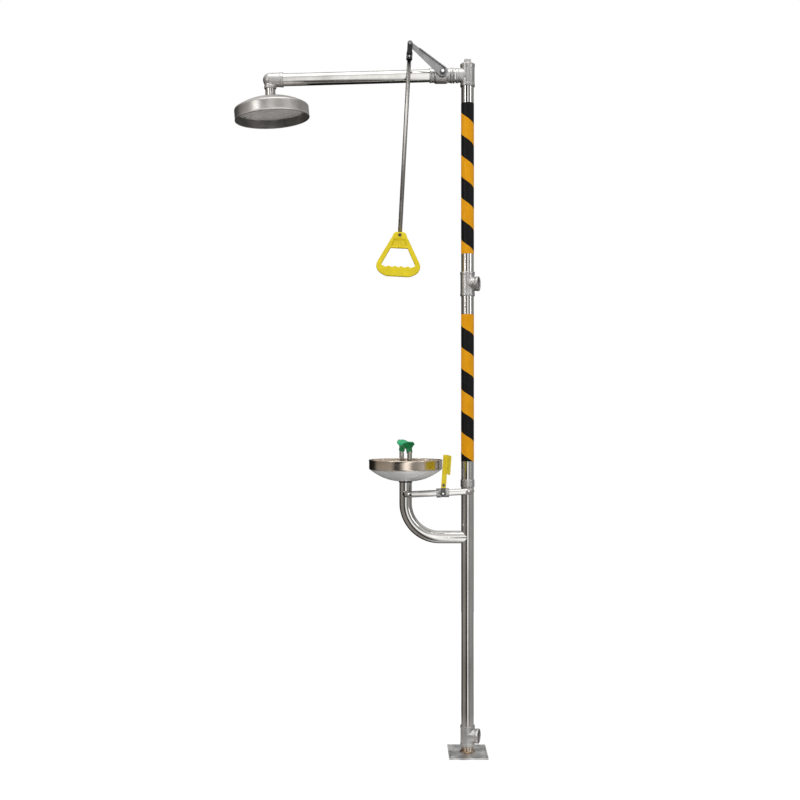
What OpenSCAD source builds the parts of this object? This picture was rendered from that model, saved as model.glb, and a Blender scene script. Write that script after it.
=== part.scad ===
// Combination emergency shower and eyewash station, screwed together from stainless pipe.
// Origin: centre of the base plate's underside, on the column axis. +Z up, the shower arm and
// the bowl reach along -X, the valve levers and the pull rod are on the -Y side.

/* [Heights] */
// Height of the shower arm's centre line
arm_z = 2277; // [2150:1:2450]
// Height of the supply inlet
supply_z = 1576; // [1450:1:1700]
// Height of the eyewash bowl's rim
bowl_rim_z = 986; // [930:1:1100]
// Height of the drain branch on the column
drain_z = 726; // [650:1:760]
// Height of the waste outlet
waste_z = 60; // [58:1:120]

/* [Reaches] */
// Distance from the column to the shower head's axis
arm_reach = 664; // [560:1:760]
// Distance from the column to the bowl's axis
bowl_reach = 208; // [190:1:250]
// Sag of the screwed arm below level, in degrees
arm_droop = 1.6; // [0:0.1:3]
// Extra tilt of the shower head on its nipple, in degrees
head_tilt = 3.2; // [0:0.1:5]

/* [Pipes] */
// Outside diameter of the column and arm pipe
column_od = 42.4; // [38:0.1:51]
// Wall of the column and arm pipe
column_wall = 2.8; // [2:0.1:3.4]
// Outside diameter of the head nipple
nipple_od = 33.7; // [30:0.1:36]
// Outside diameter of the drain bend
drain_od = 42; // [34:0.1:42]
// Outside diameter of the eyewash supply pipe
bar_od = 21.3; // [18:0.1:24]
// Wall of the drain bend, the nipple and the eyewash supply pipe
thin_wall = 2.2; // [1.6:0.1:2.6]
// Centre-line radius of the drain bend
drain_bend_r = 114; // [80:1:125]

/* [Fittings] */
// Wall of the cast fittings over the pipe
fitting_wall = 2.6; // [2.4:0.1:5]
// Extra thickness of the rolled collars at the ports
collar_t = 1; // [0.8:0.1:3]
// Length of pipe screwed into a fitting
thread_len = 17; // [12:1:19]
// Distance from the column axis to a port's mouth
port_reach = 40; // [38:1:48]
// Turn of the two ports towards the front, in degrees
port_turn = 18; // [0:1:40]

/* [Base plate] */
// Width of the base plate, along X
plate_x = 130; // [120:1:160]
// Depth of the base plate, along Y
plate_y = 155; // [140:1:180]
// Thickness of the base plate
plate_t = 6; // [4:0.5:10]
// Spacing of the floor bolts along X
bolt_x = 106; // [96:1:108]
// Spacing of the floor bolts along Y
bolt_y = 128; // [110:1:130]
// Diameter of the floor bolt holes
bolt_d = 12; // [9:1:14]

/* [Shower head] */
// Outside diameter of the shower head
head_d = 254; // [220:1:305]
// Height of the head's straight skirt
head_skirt = 39; // [34:1:50]
// Height of the dome above the skirt
head_dome = 32; // [26:1:42]
// Sheet thickness of the head and the bowl
sheet_t = 1.5; // [1:0.1:2.5]
// Depth of the spray plate above the head's rim
spray_recess = 30; // [20:1:30]
// Diameter of a spray hole
spray_d = 3; // [2:0.5:4]

/* [Eyewash] */
// Outside diameter of the bowl
bowl_d = 250; // [220:1:300]
// Height of the bowl's straight skirt
bowl_skirt = 31; // [26:1:40]
// Depth of the bowl's dome below the skirt
bowl_dome = 41; // [34:1:50]
// Distance between the two spray nozzles
nozzle_pitch = 76; // [64:1:100]
// Turn of the pair of nozzles about the bowl's axis, in degrees
nozzle_turn = 20; // [0:1:30]
// Inward tilt of each nozzle, in degrees
nozzle_tilt = 25; // [10:1:35]
// Diameter of a nozzle's dust cap
cap_d = 41; // [34:1:46]

/* [Levers] */
// Length of the shower lever from its stem to the link pin
lever_len = 142; // [120:1:175]
// Angle of the shower lever above level at rest, in degrees
lever_up = 40.4; // [35:0.1:50]
// Width of the lever at its stem
lever_w = 33; // [28:1:38]
// Thickness of the lever plate
lever_t = 3; // [2:0.5:4]
// Distance from the link pin down to the top of the pull handle
rod_drop = 627; // [500:1:700]
// Diameter of the pull rod
rod_d = 14; // [10:1:16]
// Lean of the hanging pull rod, in degrees
rod_lean = 3.05; // [0:0.05:5]
// Width of the pull handle
handle_w = 147; // [120:1:170]
// Height of the pull handle
handle_h = 147; // [120:1:170]
// Thickness of the pull handle
handle_t = 20; // [16:1:26]
// Height of the push plate's top above the eyewash valve
push_h = 128; // [110:1:150]
// Length of the push plate's flag, front to back
flag_len = 76; // [60:1:110]
// Height of the push plate's flag
flag_h = 62; // [45:1:75]

/* [Hazard film] */
// Thickness of the hazard-marking film sleeve
film_t = 0.6; // [0.3:0.1:1]
// Length of the upper film sleeve
upper_film = 506; // [300:1:520]
// Length of the lower film sleeve
lower_film = 493; // [300:1:500]

/* [Hidden] */
$fn = 96;

column_r = column_od / 2;
column_in = column_r - column_wall;
fitting_r = column_r + fitting_wall;
collar_r = fitting_r + collar_t;
collar_h = 9;
run_gap = 0.05;      // radial clearance of a shaft in its bearing
part_gap = 0.4;      // free gap between moving neighbours
top_half = 38;
supply_half = 41;
waste_half = 34;
coupling_z = 907;
coupling_h = 26;
rib_t = 3;           // stop rib between two pipe ends
partition_z = 830;

// shower valve, centred on the arm's centre line
sv_x = -85.5;
sv_half = 42.5;
sv_ball_d = 40;
sv_bore_r = 15;
sv_stem_r = 6;
lever_y = -47;       // middle of the shower lever's thickness
tip_r = 7;
pin_r = 4;
tip_x = sv_x - lever_len * cos(lever_up);
tip_z = arm_z + lever_len * sin(lever_up);

// shower head, hung from the arm's end
head_r = head_d / 2;
elbow_drop = 61;     // elbow centre to the head's dome top

// eyewash
bowl_r = bowl_d / 2;
bowl_floor_z = bowl_rim_z - bowl_skirt - bowl_dome;
drain_r = drain_od / 2;
drain_in = drain_r - thin_wall;
drain_top_z = bowl_floor_z - 4;
bar_r = bar_od / 2;
bar_in = bar_r - thin_wall;
bar_y = -(column_r + bar_r + 8);
bar_slope = 2.8;
bar_end_x = 11;
bar_bend_r = 22;
ev_x = -85;
bar_end_z = coupling_z - coupling_h / 2 - bar_r - 1;
bar_z = bar_end_z - (bar_end_x - ev_x) * tan(bar_slope);
ev_half = 21;
ev_ball_d = 20;
ev_bore_r = 7;
ev_stem_r = 4;
ev_body_r = 14.5;
push_lean = 4;
push_t = 3;
push_y = bar_y - ev_body_r - 12;   // back face of the push bracket
riser_r = 8;
manifold_z = bowl_floor_z + 22;
neck_h = 14;
nozzle_z = bowl_rim_z + 30;        // base of the far nozzle's neck
near_drop = 5;                     // the near nozzle is screwed down further

steel = [0.72, 0.71, 0.69];
cast_steel = [0.66, 0.65, 0.62];
black = [0.05, 0.05, 0.06];
yellow = [0.93, 0.8, 0.1];
orange = [0.86, 0.6, 0.05];
green = [0.05, 0.5, 0.28];
white = [0.92, 0.92, 0.9];

// ---------- shared shapes ----------

// pipe standing on z = 0
module pipe(od, wall, len) {
    difference() {
        cylinder(d = od, h = len);
        translate([0, 0, -1]) cylinder(d = od - 2 * wall, h = len + 2);
    }
}

// solid of revolution about X from outline points [x, r]
module turned_x(points) {
    rotate([0, 90, 0]) rotate_extrude() polygon([for (p = points) [p[1], p[0]]]);
}

// cast tee: run along Z, one branch along +X, both bored for the pipe
module tee(half, reach) {
    difference() {
        union() {
            translate([0, 0, -half]) cylinder(r = fitting_r, h = 2 * half);
            for (z = [-half, half - collar_h])
                translate([0, 0, z]) cylinder(r = collar_r, h = collar_h);
            rotate([0, 90, 0]) cylinder(r = fitting_r - 0.5, h = reach);
            translate([reach - collar_h, 0, 0]) rotate([0, 90, 0]) cylinder(r = collar_r, h = collar_h);
        }
        translate([0, 0, -half - 1]) cylinder(r = column_in, h = 2 * half + 2);
        for (z = [-half - 1, half - thread_len])
            translate([0, 0, z]) cylinder(r = column_r, h = thread_len + 1);
        rotate([0, 90, 0]) cylinder(r = column_in - 1, h = reach + 1);
        translate([reach - thread_len, 0, 0]) rotate([0, 90, 0]) cylinder(r = column_r, h = thread_len + 1);
    }
}

// ball with a through bore along Z and a slot for the stem on its -Y side
module valve_ball(ball_d, bore_r, stem_r) {
    difference() {
        sphere(d = ball_d);
        cylinder(r = bore_r, h = ball_d + 2, center = true);
        translate([0, -ball_d / 2, 0]) cube([stem_r, 8, 2 * stem_r], center = true);
    }
}

// the pair of ring seats on either side of a ball, flow along X
module valve_seats(ball_d, bore_r, seat_r, seat_end) {
    difference() {
        for (s = [-1, 1])
            translate([s * (seat_end + ball_d * 0.35) / 2, 0, 0]) rotate([0, 90, 0])
                cylinder(r = seat_r, h = seat_end - ball_d * 0.35, center = true);
        sphere(r = ball_d / 2 + part_gap);
        rotate([0, 90, 0]) cylinder(r = bore_r, h = 3 * ball_d, center = true);
    }
}

// stem along -Y: tang in the ball's slot, round shank, threaded end
module valve_stem(ball_d, stem_r, shank_y, end_y, end_r) {
    tang_y = -ball_d / 2 + 4;
    translate([0, (tang_y - ball_d / 2 - 1) / 2, 0])
        cube([stem_r, tang_y + ball_d / 2 + 1, 2 * stem_r - 2], center = true);
    translate([0, -ball_d / 2 - 1, 0]) rotate([90, 0, 0]) cylinder(r = stem_r, h = -ball_d / 2 - 1 - shank_y);
    translate([0, shank_y, 0]) rotate([90, 0, 0]) cylinder(r = end_r, h = shank_y - end_y);
}

// hexagonal nut along -Y from y0 to y1 with a round hole
module nut_y(across, y0, y1, hole_r) {
    translate([0, y0, 0]) rotate([90, 0, 0]) difference() {
        cylinder(d = across / cos(30), h = y0 - y1, $fn = 6);
        translate([0, 0, -1]) cylinder(r = hole_r, h = y0 - y1 + 2);
    }
}

// arm frame: X = 0 at the valve's outlet, drooping
module on_arm() {
    translate([sv_x - sv_half + thread_len, 0, arm_z]) rotate([0, -arm_droop, 0]) children();
}
arm_run = arm_reach + sv_x - sv_half + thread_len;   // from the arm pipe's start to the elbow centre

// head frame: origin at the elbow's centre, leaning with the head
module on_head() {
    on_arm() translate([-arm_run, 0, 0]) children();
}

module tilted_head() {
    on_head() translate([0, 0, -elbow_drop]) rotate([0, -head_tilt, 0]) children();
}

// pull frame: origin at the link pin, leaning with the rod
module on_pull() {
    translate([tip_x, lever_y, tip_z]) rotate([0, rod_lean, 0]) children();
}

// eyewash bar frame: origin at the small valve's centre, sloping with the bar
module on_bar() {
    translate([ev_x, bar_y, bar_z]) rotate([0, -bar_slope, 0]) children();
}

// nozzle frames: side -1 is near (front), 1 is far
function nozzle_base(side) = side < 0 ? nozzle_z - near_drop : nozzle_z;

module at_nozzle(side) {
    translate([-bowl_reach, 0, nozzle_base(side)]) rotate([0, 0, nozzle_turn])
        translate([0, side * nozzle_pitch / 2, 0]) rotate([side * nozzle_tilt, 0, 0]) children();
}

// ---------- base and column ----------

module base_plate() {
    color(steel) difference() {
        translate([-plate_x / 2, -plate_y / 2, 0]) cube([plate_x, plate_y, plate_t]);
        for (x = [-1, 1], y = [-1, 1])
            translate([x * bolt_x / 2, y * bolt_y / 2, -1]) cylinder(d = bolt_d, h = plate_t + 2);
    }
}

module base_nipple() {
    weld = 5;
    top = waste_z - waste_half + thread_len;
    color(steel) difference() {
        union() {
            translate([0, 0, plate_t]) cylinder(d = column_od, h = top - plate_t);
            translate([0, 0, plate_t]) rotate_extrude()
                polygon([[column_r - 1, 0], [column_r + weld, 0], [column_r, weld], [column_r - 1, weld]]);
        }
        translate([0, 0, plate_t - 1]) cylinder(r = column_in, h = top);
    }
}

module waste_tee() {
    color(cast_steel) translate([0, 0, waste_z]) rotate([0, 0, -port_turn]) tee(waste_half, port_reach);
}

module lower_column() {
    bottom = waste_z + waste_half - thread_len;
    color(steel) difference() {
        translate([0, 0, bottom]) pipe(column_od, column_wall, coupling_z - rib_t / 2 - bottom);
        translate([0, 0, drain_z]) rotate([0, -90, 0]) cylinder(r = drain_in, h = column_od);
        translate([bar_end_x, -column_od, bar_end_z]) rotate([-90, 0, 0]) cylinder(r = bar_in, h = column_od);
    }
}

module column_partition() {
    color(steel) translate([0, 0, partition_z]) cylinder(r = column_in, h = 5);
}

module column_coupling() {
    color(cast_steel) translate([0, 0, coupling_z]) difference() {
        translate([0, 0, -coupling_h / 2]) cylinder(r = fitting_r - 0.4, h = coupling_h);
        translate([0, 0, -coupling_h]) cylinder(r = column_in, h = 2 * coupling_h);
        for (s = [-1, 1])
            translate([0, 0, s * (coupling_h / 2 + rib_t / 2)]) cylinder(r = column_r, h = coupling_h, center = true);
    }
}

module middle_column() {
    bottom = coupling_z + rib_t / 2;
    color(steel) translate([0, 0, bottom])
        pipe(column_od, column_wall, supply_z - supply_half + thread_len - bottom);
}

module supply_tee() {
    color(cast_steel) translate([0, 0, supply_z]) rotate([0, 0, -port_turn]) tee(supply_half, port_reach);
}

module upper_column() {
    bottom = supply_z + supply_half - thread_len;
    color(steel) translate([0, 0, bottom])
        pipe(column_od, column_wall, arm_z - top_half + thread_len - bottom);
}

module top_tee() {
    color(cast_steel) translate([0, 0, arm_z]) rotate([0, 0, 180]) tee(top_half, port_reach);
}

module top_plug() {
    seat = arm_z + top_half;
    color(cast_steel) {
        translate([0, 0, seat - thread_len + 2]) cylinder(r = column_r, h = thread_len - 2);
        translate([0, 0, seat]) cylinder(r1 = column_r, r2 = column_r - 4, h = 4);
        translate([-11, -11, seat + 4]) cube([22, 22, 11]);
    }
}

module film_sleeve(bottom, len) {
    color(orange) translate([0, 0, bottom]) difference() {
        cylinder(r = column_r + film_t, h = len);
        translate([0, 0, -1]) cylinder(r = column_r, h = len + 2);
    }
}

module upper_hazard_sleeve() {
    film_sleeve(arm_z - 94 - upper_film, upper_film);
}

module lower_hazard_sleeve() {
    film_sleeve(supply_z - 102 - lower_film, lower_film);
}

// ---------- shower valve ----------

module valve_nipple() {
    right = -(port_reach - thread_len);
    left = sv_x + sv_half - thread_len;
    color(steel) translate([left, 0, arm_z]) rotate([0, 90, 0]) pipe(column_od, column_wall, right - left);
}

module shower_valve_body() {
    end_r = column_r + fitting_wall;
    wide = end_r + 3.4;
    neck = 38;
    color(cast_steel) translate([sv_x, 0, arm_z]) difference() {
        union() {
            turned_x([[-26, 0], [-26, wide - 2], [-22, wide], [14, wide], [20, end_r], [sv_half - 14, end_r],
                [sv_half - 14, end_r + 2], [sv_half - 9, end_r + 2], [sv_half - 9, end_r],
                [sv_half - 5, end_r], [sv_half - 5, end_r + 2], [sv_half, end_r + 2], [sv_half, 0]]);
            rotate([90, 0, 0]) cylinder(r = 13, h = neck);
        }
        turned_x([[-27, 0], [-27, 23], [-14, 23], [-14, 20.5], [24, 20.5], [24, sv_bore_r], [25.5, sv_bore_r],
            [25.5, column_r], [sv_half + 1, column_r], [sv_half + 1, 0]]);
        rotate([90, 0, 0]) cylinder(r = sv_stem_r + run_gap, h = neck + 1);
    }
}

module shower_valve_end() {
    end_r = column_r + fitting_wall;
    color(cast_steel) translate([sv_x, 0, arm_z]) difference() {
        turned_x([[-sv_half, 0], [-sv_half, end_r + 1], [-sv_half + 6, end_r + 1], [-sv_half + 6, end_r],
            [-26, end_r], [-26, 23], [-14, 23], [-14, 20.5], [-24, 20.5], [-24, 0]]);
        rotate([0, 90, 0]) cylinder(r = sv_bore_r, h = 100, center = true);
        translate([-sv_half + thread_len, 0, 0]) rotate([0, -90 - arm_droop, 0])
            cylinder(r = column_r, h = 60);
    }
}

module shower_valve_seats() {
    color(white) translate([sv_x, 0, arm_z]) valve_seats(sv_ball_d, sv_bore_r, 20.5, 24);
}

module shower_valve_ball() {
    color(steel) translate([sv_x, 0, arm_z]) valve_ball(sv_ball_d, sv_bore_r, sv_stem_r);
}

module shower_valve_stem() {
    color(steel) translate([sv_x, 0, arm_z])
        valve_stem(sv_ball_d, sv_stem_r, lever_y + lever_t / 2, lever_y - 12, 5);
}

module shower_valve_gland() {
    color(steel) translate([sv_x, 0, arm_z]) nut_y(24, -38, -44.5, sv_stem_r + run_gap);
}

// ---------- shower lever and pull ----------

module shower_lever() {
    tip_w = 2 * tip_r;
    lip = 7;
    edge = atan2(lever_w / 2 - tip_r, lever_len);
    color(steel) translate([sv_x, lever_y + lever_t / 2, arm_z]) rotate([90, 0, 0]) rotate([0, 0, 180 - lever_up])
        difference() {
            union() {
                linear_extrude(lever_t) union() {
                    circle(d = lever_w);
                    translate([lever_len, 0]) circle(r = tip_r);
                    polygon([[0, -lever_w / 2], [lever_len, -tip_r], [lever_len, tip_r], [0, lever_w / 2]]);
                }
                translate([0, -lever_w / 2, lever_t]) rotate([0, 0, edge]) cube([lever_len - 34, lever_t, lip]);
            }
            translate([0, 0, -1]) cylinder(r = 5, h = lever_t + lip + 2);
            translate([lever_len, 0, -1]) cylinder(r = pin_r, h = lever_t + 2);
        }
}

module shower_lever_nut() {
    color(steel) translate([sv_x, 0, arm_z]) nut_y(17, lever_y - lever_t / 2, lever_y - 10, 5);
}

module link_pin() {
    half = 10;
    color(steel) translate([tip_x, lever_y, tip_z]) rotate([90, 0, 0]) {
        translate([0, 0, -half]) cylinder(r = pin_r - run_gap, h = 2 * half);
        for (z = [-half - 3, half]) translate([0, 0, z]) cylinder(r = pin_r + 2, h = 3);
    }
}

link_t = 19;         // depth of the link, front to back
yoke_top = -29;
yoke_low = -51;
yoke_sill = 4;       // window sill above yoke_low
module pull_link() {
    color(black) on_pull() difference() {
        union() {
            rotate([90, 0, 0]) cylinder(r = 8.5, h = link_t, center = true);
            translate([-8.5, -link_t / 2, yoke_top]) cube([17, link_t, -yoke_top]);
            translate([0, 0, (yoke_top + yoke_low) / 2 - 1])
                cube([20, link_t, yoke_top - yoke_low + 2], center = true);
        }
        rotate([90, 0, 0]) cylinder(r = pin_r + run_gap, h = link_t + 2, center = true);
        translate([-20, -lever_t / 2 - part_gap, -25]) cube([40, lever_t + 2 * part_gap, 48]);
        translate([-6.5, -link_t, yoke_low + yoke_sill]) cube([13, 2 * link_t, 12]);
        translate([0, 0, yoke_low - 3]) cylinder(r = 4 + run_gap, h = 10);
    }
}

module rod_nut() {
    color(steel) on_pull() translate([0, 0, yoke_low + yoke_sill + part_gap]) difference() {
        cylinder(d = 12, h = 8);
        translate([0, 0, -1]) cylinder(r = 4, h = 10);
    }
}

handle_socket = 24;
module pull_rod() {
    color(steel) on_pull() {
        translate([0, 0, -rod_drop - handle_socket])
            cylinder(d = rod_d, h = rod_drop + handle_socket + yoke_low - 2 - part_gap);
        translate([0, 0, yoke_low - 2 - part_gap]) cylinder(r = 4, h = 17);
    }
}

// outline of the pull handle below its cap, and of its finger opening; z = 0 at the cap's top
module handle_outline() {
    w = handle_w / 2;
    half = [[15, 0], [21, -6], [25, -17], [27, -20], [w - 3, -0.69 * handle_h], [w, -0.76 * handle_h],
        [w - 1, -0.82 * handle_h], [w - 6, -0.885 * handle_h], [w - 15, -0.94 * handle_h],
        [w - 29, -0.985 * handle_h], [w - 36, -handle_h]];
    polygon(concat(half, [for (i = [len(half) - 1 : -1 : 0]) [-half[i][0], half[i][1]]]));
}

module handle_opening() {
    w = handle_w / 2;
    bumps = 5;
    pitch = (2 * w - 42) / bumps;
    difference() {
        polygon([[-28, -0.36 * handle_h], [28, -0.36 * handle_h], [w - 17, -0.74 * handle_h],
            [w - 21, -0.79 * handle_h], [21 - w, -0.79 * handle_h], [17 - w, -0.74 * handle_h]]);
        for (i = [0 : bumps])
            translate([(i - bumps / 2) * pitch, -0.79 * handle_h - 4]) circle(r = 7.5);
    }
}

module pull_handle() {
    color(yellow) on_pull() translate([0, 0, -rod_drop]) difference() {
        rotate([90, 0, 0]) linear_extrude(handle_t, center = true) difference() {
            handle_outline();
            handle_opening();
        }
        translate([0, 0, -handle_socket]) cylinder(d = rod_d, h = handle_socket + 1);
        translate([0, 0, -10]) rotate([90, 0, 0]) cylinder(r = 2.5, h = handle_t);
    }
}

module handle_screw() {
    color(black) on_pull() translate([0, 0, -rod_drop - 10]) rotate([90, 0, 0]) {
        translate([0, 0, rod_d / 2]) cylinder(r = 2.5, h = handle_t / 2 - rod_d / 2);
        translate([0, 0, handle_t / 2]) cylinder(r = 5, h = 2.5);
    }
}

// ---------- shower arm and head ----------

module shower_arm() {
    socket = 32;
    color(steel) on_arm() translate([-arm_run + socket, 0, 0]) rotate([0, 90, 0])
        pipe(column_od, column_wall, arm_run - socket);
}

module arm_elbow() {
    reach = 32 + thread_len - 4;
    drop = 30;
    neck_r = nipple_od / 2 + fitting_wall;
    color(cast_steel) on_head() difference() {
        union() {
            sphere(r = fitting_r);
            rotate([0, 90, 0]) cylinder(r = fitting_r, h = reach);
            translate([reach - collar_h, 0, 0]) rotate([0, 90, 0]) cylinder(r = collar_r, h = collar_h);
            translate([0, 0, -drop]) cylinder(r = neck_r, h = drop);
            translate([0, 0, -drop]) cylinder(r = neck_r + collar_t, h = collar_h);
        }
        sphere(r = column_in - 3);
        rotate([0, 90, 0]) cylinder(r = column_in - 3, h = 33);
        translate([32, 0, 0]) rotate([0, 90, 0]) cylinder(r = column_r, h = reach);
        translate([0, 0, -drop - 1]) cylinder(r = nipple_od / 2 - thin_wall, h = drop);
        translate([0, 0, -drop - 1]) cylinder(r = nipple_od / 2, h = 13);
    }
}

module head_nipple() {
    color(steel) on_head() translate([0, 0, -18]) rotate([180, 0, 0])
        pipe(nipple_od, thin_wall, elbow_drop - 18 + 12);
}

module head_locknut() {
    color(steel) tilted_head() difference() {
        cylinder(d = (nipple_od + 12) / cos(30), h = 7, $fn = 6);
        rotate([0, head_tilt, 0]) cylinder(r = nipple_od / 2, h = 3 * elbow_drop, center = true);
    }
}

// outline of a domed pan: dome radius, skirt height, open side down
function dome_points(r, rise, top_r, n) =
    [for (i = [0 : n]) let (t = i / n, x = top_r + (r - top_r) * t) [x, -rise * pow(t, 2.1)]];

module domed_pan(r, rise, skirt, neck) {
    low = -rise - skirt;
    bead = 3;
    outer = dome_points(r, rise, neck, 14);
    inner = dome_points(r - sheet_t, rise - sheet_t / 2, neck, 14);
    rotate_extrude() polygon(concat(outer,
        [[r, low + bead], [r + 1, low + bead], [r + 1, low], [r - bead, low], [r - bead, low + bead],
            [r - sheet_t, low + bead]],
        [for (i = [14 : -1 : 0]) [inner[i][0], inner[i][1] - sheet_t]]));
}

module shower_head_shell() {
    color(steel) tilted_head() domed_pan(head_r - 2, head_dome, head_skirt, nipple_od / 2 + 1.2);
}

spray_z = -head_dome - head_skirt + spray_recess;
module spray_plate() {
    rings = 6;
    color(steel) tilted_head() translate([0, 0, spray_z]) difference() {
        cylinder(r = head_r - 2 - sheet_t, h = sheet_t);
        for (k = [1 : rings], a = [0 : 360 / (6 * k) : 359])
            rotate([0, 0, a]) translate([k * (head_r - 26) / rings, 0, -1]) cylinder(d = spray_d, h = 4, $fn = 13);
    }
}

module spray_plate_screws() {
    color(steel) tilted_head() for (a = [30 : 120 : 359])
        rotate([0, 0, a]) translate([head_r - 14, 0, spray_z - 3]) cylinder(r = 3.5, h = 3);
}

// ---------- drain and bowl ----------

module drain_bend() {
    color(steel) difference() {
        union() {
            translate([-bowl_reach + drain_bend_r, 0, drain_z + drain_bend_r]) rotate([90, 0, 0])
                rotate_extrude(angle = 90, start = 180) translate([drain_bend_r, 0]) difference() {
                    circle(r = drain_r);
                    circle(r = drain_in);
                }
            translate([-bowl_reach, 0, drain_z + drain_bend_r])
                pipe(drain_od, thin_wall, drain_top_z - drain_z - drain_bend_r);
            translate([-bowl_reach + drain_bend_r, 0, drain_z]) rotate([0, 90, 0])
                pipe(drain_od, thin_wall, bowl_reach - drain_bend_r);
        }
        cylinder(r = column_r, h = 2000);
        translate([-bowl_reach, 0, bar_left_z]) rotate([90, 0, 0]) cylinder(r = bar_r, h = drain_od);
    }
}

module drain_gasket() {
    color(black) translate([-bowl_reach, 0, drain_top_z]) difference() {
        cylinder(r = drain_r + 2, h = bowl_floor_z - drain_top_z);
        translate([0, 0, -1]) cylinder(r = drain_in - 2, h = 10);
    }
}

module eyewash_bowl() {
    spigot_r = drain_in - 2;
    color(steel) translate([-bowl_reach, 0, bowl_floor_z]) {
        rotate([180, 0, 0]) domed_pan(bowl_r - 2, bowl_dome, bowl_skirt, spigot_r - sheet_t);
        translate([0, 0, -16]) pipe(2 * spigot_r, sheet_t, 16);
    }
}

module bowl_strainer() {
    strainer_r = 28;
    lift = 4;
    color(steel) translate([-bowl_reach, 0, bowl_floor_z + sheet_t + lift]) difference() {
        union() {
            cylinder(r = strainer_r, h = 1.5);
            for (a = [45 : 90 : 359]) rotate([0, 0, a]) translate([22, 0, -lift + 0.5]) cylinder(r = 2, h = lift);
        }
        translate([0, 0, -1]) cylinder(r = riser_r + 0.3, h = 5);
        for (a = [0 : 30 : 359]) rotate([0, 0, a]) translate([18, 0, -1]) cylinder(r = 2, h = 4, $fn = 16);
    }
}

// ---------- nozzles ----------

module eyewash_riser() {
    color(steel) translate([-bowl_reach, 0, 0]) difference() {
        union() {
            translate([0, 0, bar_left_z]) cylinder(r = riser_r, h = manifold_z - riser_r + 2 - bar_left_z);
            translate([0, riser_r + 2, bar_left_z]) rotate([90, 0, 0]) cylinder(r = bar_r, h = riser_r + drain_in);
        }
        translate([0, 0, bar_left_z]) cylinder(r = riser_r - 1.5, h = 200);
        translate([0, 0, bar_left_z]) rotate([90, 0, 0]) cylinder(r = riser_r - 1.5, h = 40);
    }
}

module nozzle_manifold() {
    color(steel) translate([-bowl_reach, 0, manifold_z]) rotate([0, 0, nozzle_turn]) difference() {
        rotate([90, 0, 0]) cylinder(r = riser_r + 2, h = nozzle_pitch + 2 * riser_r + 6, center = true);
        rotate([90, 0, 0]) cylinder(r = riser_r - 1.5, h = nozzle_pitch + 2, center = true);
        translate([0, 0, -40]) cylinder(r = riser_r, h = 40 - riser_r + 2);
        translate([0, 0, -40]) cylinder(r = riser_r - 1.5, h = 40);
        for (s = [-1, 1]) translate([0, s * nozzle_pitch / 2, 0]) cylinder(r = riser_r - 1.5, h = 40);
        for (s = [-1, 1]) translate([0, s * nozzle_pitch / 2, riser_r - 2]) cylinder(r = riser_r, h = 40);
    }
}

module nozzle_stems() {
    bottom = manifold_z + riser_r - 2;
    color(steel) for (s = [-1, 1])
        translate([-bowl_reach, 0, bottom]) rotate([0, 0, nozzle_turn]) translate([0, s * nozzle_pitch / 2, 0])
            difference() {
                pipe(2 * riser_r, 1.5, nozzle_base(s) + 5 - bottom);
                translate([0, 0, nozzle_base(s) - bottom]) rotate([s * nozzle_tilt, 0, 0])
                    translate([0, 0, 20]) cube([60, 60, 40], center = true);
            }
}

cup_h = 12;          // height of the nozzle's flared cup
cup_rim = neck_h + cup_h;
hinge_y = cap_d / 2 + 3.2;
module nozzle_body(side) {
    cup_r = cap_d / 2 - 2.5;
    at_nozzle(side) difference() {
        union() {
            rotate_extrude() polygon([[0, 0], [10, 0], [10, neck_h], [cup_r, cup_rim], [0, cup_rim]]);
            translate([-4, side * hinge_y - 3 * (side + 1) / 2, cup_rim - 5]) cube([8, 3, 3]);
            translate([0, side * (cup_r + hinge_y - 3) / 2, cup_rim - 3.5])
                cube([8, hinge_y - cup_r + 5, 3], center = true);
            translate([0, side * hinge_y, cup_rim - 1]) rotate([0, 90, 0]) cylinder(r = 2.6, h = 8, center = true);
        }
        translate([0, 0, -1]) cylinder(r = 5, h = 60);
        translate([0, 0, neck_h + 4]) cylinder(r1 = 9, r2 = cup_r - 2, h = cup_h - 3.9);
        translate([0, side * hinge_y, cup_rim - 1]) rotate([0, 90, 0]) cylinder(r = 1.2, h = 20, center = true);
    }
}

module nozzle_near() {
    color(green) nozzle_body(-1);
}

module nozzle_far() {
    color(green) nozzle_body(1);
}

module cap_pin(side) {
    color(steel) at_nozzle(side) translate([0, side * hinge_y, cup_rim - 1]) rotate([0, 90, 0])
        cylinder(r = 1.2, h = 16, center = true);
}

module cap_pin_near() {
    cap_pin(-1);
}

module cap_pin_far() {
    cap_pin(1);
}

module dust_cap(side) {
    cap_r = cap_d / 2;
    top = 6;
    at_nozzle(side) difference() {
        union() {
            translate([0, 0, cup_rim + part_gap]) cylinder(r = cap_r, h = top - 2);
            translate([0, 0, cup_rim + part_gap + top - 2]) cylinder(r1 = cap_r, r2 = cap_r - 3, h = 2);
            for (x = [-6.5, 6.5]) translate([x, side * hinge_y, cup_rim - 1]) rotate([0, 90, 0])
                cylinder(r = 2.6, h = 4, center = true);
            for (x = [-6.5, 6.5]) translate([x, side * (hinge_y - 4), cup_rim + part_gap + 1.5])
                cube([4, 9, 3], center = true);
        }
        translate([0, 0, cup_rim - 4]) cylinder(r = cap_r - 4, h = 4 + part_gap + 3);
        translate([0, side * hinge_y, cup_rim - 1]) rotate([0, 90, 0])
            cylinder(r = 1.2 + run_gap, h = 20, center = true);
    }
}

module dust_cap_near() {
    color(green) dust_cap(-1);
}

module dust_cap_far() {
    color(green) dust_cap(1);
}

// ---------- eyewash supply bar and valve ----------

bar_left_run = bowl_reach + ev_x;
bar_right_run = bar_end_x - ev_x;
bar_left_z = bar_z - bar_left_run * tan(bar_slope);
ev_socket = 7.5;

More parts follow.
